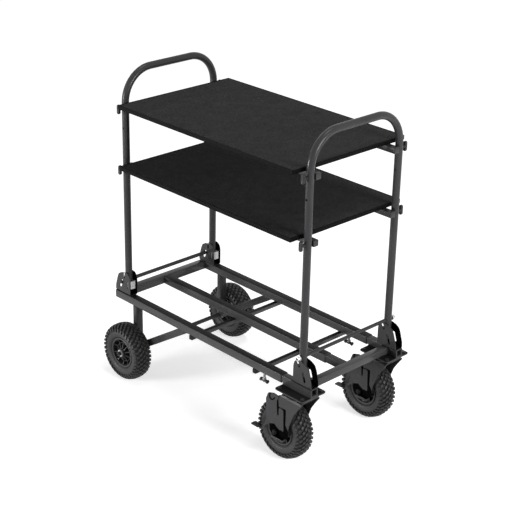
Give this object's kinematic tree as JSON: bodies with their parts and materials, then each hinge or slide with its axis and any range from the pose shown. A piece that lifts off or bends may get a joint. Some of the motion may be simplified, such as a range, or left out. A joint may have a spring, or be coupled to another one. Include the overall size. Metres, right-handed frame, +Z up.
{
  "type": "camera cart",
  "caption": "Folding camera cart with a telescoping tubular base, knobby wheels, swivel casters, arched push handles and carpeted top and lower shelves.",
  "frame": {"origin": "on the floor under the middle of the cart", "axes": "+Z up, +X towards the telescoping caster end, +Y towards the far side of the picture"},
  "size_m": [1.167, 0.7046, 1.338],
  "materials": {
    "black_steel": "satin black powder coat",
    "dark_steel": "matt black paint",
    "zinc_steel": "dull zinc plate",
    "tyre": "matt black knobby rubber",
    "rim_plastic": "moulded black",
    "knob_plastic": "moulded black",
    "carpeted_board": "plywood under a thin black carpet"
  },
  "bodies": {
    "frame": {"outer_rail_near": "black_steel", "outer_rail_far": "black_steel", "outer_rail_centre": "black_steel", "fixed_end_beam": "black_steel", "rear_cross_tube": "black_steel", "front_cross_tube": "black_steel", "wheel_leg_near": "black_steel", "wheel_leg_far": "black_steel", "fixed_axle": "zinc_steel", "fixed_hinge_near": "black_steel", "fixed_hinge_far": "black_steel", "fixed_shoe_near": "zinc_steel", "fixed_shoe_far": "zinc_steel", "fixed_handle": "black_steel", "top_shelf_board": "carpeted_board", "top_shelf_rail_near": "black_steel", "top_shelf_rail_far": "black_steel", "lower_shelf_board": "carpeted_board", "lower_shelf_rail_near": "black_steel", "lower_shelf_rail_far": "black_steel"},
    "extension": {"inner_rail_near": "black_steel", "inner_rail_far": "black_steel", "inner_rail_centre": "black_steel", "ext_end_beam": "black_steel", "caster_bracket_near": "dark_steel", "caster_bracket_far": "dark_steel", "ext_hinge_near": "black_steel", "ext_hinge_far": "black_steel", "ext_shoe_near": "zinc_steel", "ext_shoe_far": "zinc_steel", "ext_handle": "black_steel", "tie_rod": "dark_steel", "top_shelf_slider_near": "black_steel", "top_shelf_slider_far": "black_steel", "lower_shelf_slider_near": "black_steel", "lower_shelf_slider_far": "black_steel"},
    "lock_bar": {"lock_bar": "dark_steel"},
    "fixed_wheel_near": {"fixed_wheel_near_tyre": "tyre", "fixed_wheel_near_rim": "rim_plastic"},
    "caster_wheel_near": {"caster_wheel_near_tyre": "tyre", "caster_wheel_near_rim": "rim_plastic"},
    "clamp_screw_near": {"clamp_screw_near": "dark_steel"},
    "caster_fork_near": {"caster_fork_near": "black_steel"},
    "caster_brake_near": {"caster_brake_near": "dark_steel"},
    "fixed_top_knob_near": {"fixed_top_knob_near": "knob_plastic"},
    "fixed_lower_knob_near": {"fixed_lower_knob_near": "knob_plastic"},
    "ext_top_knob_near": {"ext_top_knob_near": "knob_plastic"},
    "ext_lower_knob_near": {"ext_lower_knob_near": "knob_plastic"},
    "fixed_wheel_far": {"fixed_wheel_far_tyre": "tyre", "fixed_wheel_far_rim": "rim_plastic"},
    "caster_wheel_far": {"caster_wheel_far_tyre": "tyre", "caster_wheel_far_rim": "rim_plastic"},
    "clamp_screw_far": {"clamp_screw_far": "dark_steel"},
    "caster_fork_far": {"caster_fork_far": "black_steel"},
    "caster_brake_far": {"caster_brake_far": "dark_steel"},
    "fixed_top_knob_far": {"fixed_top_knob_far": "knob_plastic"},
    "fixed_lower_knob_far": {"fixed_lower_knob_far": "knob_plastic"},
    "ext_top_knob_far": {"ext_top_knob_far": "knob_plastic"},
    "ext_lower_knob_far": {"ext_lower_knob_far": "knob_plastic"}
  },
  "joints": [
    {"name": "extension_slide", "type": "slide", "parent": "frame", "child": "extension", "axis": [1, 0, 0], "range_m": [0, 0.25]},
    {"name": "fixed_wheel_near_spin", "type": "hinge", "parent": "frame", "child": "fixed_wheel_near", "pos_m": [-0.4565, -0.299, 0.124], "axis": [0, 1, 0], "continuous": true},
    {"name": "caster_near_swivel", "type": "hinge", "parent": "extension", "child": "caster_fork_near", "pos_m": [0.507, -0.2356, 0.3], "axis": [0, 0, 1], "continuous": true},
    {"name": "caster_wheel_near_spin", "type": "hinge", "parent": "caster_fork_near", "child": "caster_wheel_near", "pos_m": [0.436, -0.2356, 0.124], "axis": [0, 1, 0], "continuous": true},
    {"name": "caster_brake_near_tilt", "type": "hinge", "parent": "caster_fork_near", "child": "caster_brake_near", "pos_m": [0.43245, -0.2356, 0.1959], "axis": [0, -1, 0], "range_deg": [0, 12]},
    {"name": "clamp_screw_near_turn", "type": "hinge", "parent": "frame", "child": "clamp_screw_near", "pos_m": [0.3165, -0.2385, 0.3], "axis": [0, 0, 1], "range_deg": [-360, 0]},
    {"name": "fixed_top_knob_near_turn", "type": "hinge", "parent": "frame", "child": "fixed_top_knob_near", "pos_m": [-0.517, -0.25, 1.172], "axis": [0, -1, 0], "range_deg": [0, 720]},
    {"name": "fixed_lower_knob_near_turn", "type": "hinge", "parent": "frame", "child": "fixed_lower_knob_near", "pos_m": [-0.517, -0.25, 0.9155], "axis": [0, -1, 0], "range_deg": [0, 720]},
    {"name": "ext_top_knob_near_turn", "type": "hinge", "parent": "extension", "child": "ext_top_knob_near", "pos_m": [0.517, -0.25, 1.172], "axis": [0, -1, 0], "range_deg": [0, 720]},
    {"name": "ext_lower_knob_near_turn", "type": "hinge", "parent": "extension", "child": "ext_lower_knob_near", "pos_m": [0.517, -0.25, 0.9155], "axis": [0, -1, 0], "range_deg": [0, 720]},
    {"name": "fixed_wheel_far_spin", "type": "hinge", "parent": "frame", "child": "fixed_wheel_far", "pos_m": [-0.4565, 0.299, 0.124], "axis": [0, 1, 0], "continuous": true},
    {"name": "caster_far_swivel", "type": "hinge", "parent": "extension", "child": "caster_fork_far", "pos_m": [0.507, 0.2356, 0.3], "axis": [0, 0, 1], "continuous": true},
    {"name": "caster_wheel_far_spin", "type": "hinge", "parent": "caster_fork_far", "child": "caster_wheel_far", "pos_m": [0.436, 0.2356, 0.124], "axis": [0, 1, 0], "continuous": true},
    {"name": "caster_brake_far_tilt", "type": "hinge", "parent": "caster_fork_far", "child": "caster_brake_far", "pos_m": [0.43245, 0.2356, 0.1959], "axis": [0, -1, 0], "range_deg": [0, 12]},
    {"name": "clamp_screw_far_turn", "type": "hinge", "parent": "frame", "child": "clamp_screw_far", "pos_m": [0.3165, 0.2385, 0.3], "axis": [0, 0, 1], "range_deg": [-360, 0]},
    {"name": "fixed_top_knob_far_turn", "type": "hinge", "parent": "frame", "child": "fixed_top_knob_far", "pos_m": [-0.517, 0.25, 1.172], "axis": [0, 1, 0], "range_deg": [0, 720]},
    {"name": "fixed_lower_knob_far_turn", "type": "hinge", "parent": "frame", "child": "fixed_lower_knob_far", "pos_m": [-0.517, 0.25, 0.9155], "axis": [0, 1, 0], "range_deg": [0, 720]},
    {"name": "ext_top_knob_far_turn", "type": "hinge", "parent": "extension", "child": "ext_top_knob_far", "pos_m": [0.517, 0.25, 1.172], "axis": [0, 1, 0], "range_deg": [0, 720]},
    {"name": "ext_lower_knob_far_turn", "type": "hinge", "parent": "extension", "child": "ext_lower_knob_far", "pos_m": [0.517, 0.25, 0.9155], "axis": [0, 1, 0], "range_deg": [0, 720]},
    {"name": "lock_bar_slide", "type": "slide", "parent": "frame", "child": "lock_bar", "axis": [-0.4061, 0, -0.9138], "range_m": [-0.006, 0.022]}
  ]
}
